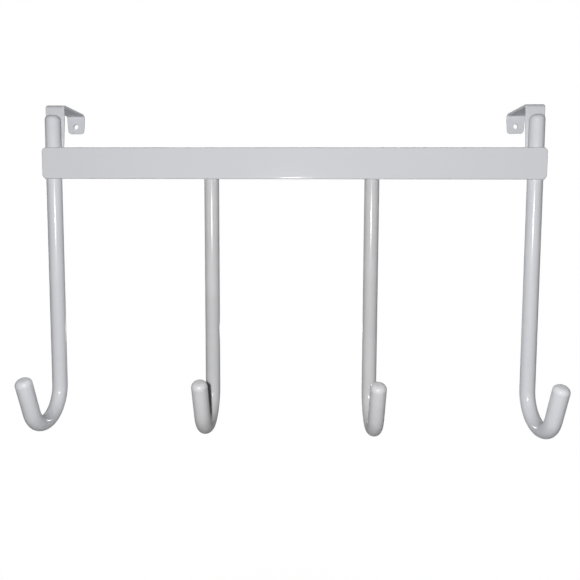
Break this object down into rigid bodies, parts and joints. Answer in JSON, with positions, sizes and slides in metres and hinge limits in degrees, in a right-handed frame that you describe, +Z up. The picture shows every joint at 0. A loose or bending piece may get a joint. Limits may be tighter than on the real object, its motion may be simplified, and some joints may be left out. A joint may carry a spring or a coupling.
{
  "type": "over door hook rack",
  "caption": "Painted steel rack of forward-bent rod hooks welded behind a flat cross bar, hung over the top of a door by folded strip brackets with screw tabs.",
  "frame": {"origin": "on the door's front top edge, midway between the two brackets", "axes": "+X along the rack to the right as seen from the hooks' side, +Y into the door, +Z up"},
  "size_m": [0.4076, 0.1065, 0.2619],
  "materials": {
    "white_paint": "gloss powder coat, off-white to light grey"
  },
  "bodies": {
    "root": {"cross_bar": "white_paint", "outer_hook_left": "white_paint", "inner_hook_left": "white_paint", "inner_hook_right": "white_paint", "outer_hook_right": "white_paint", "door_bracket_left": "white_paint", "door_bracket_right": "white_paint"}
  },
  "joints": []
}
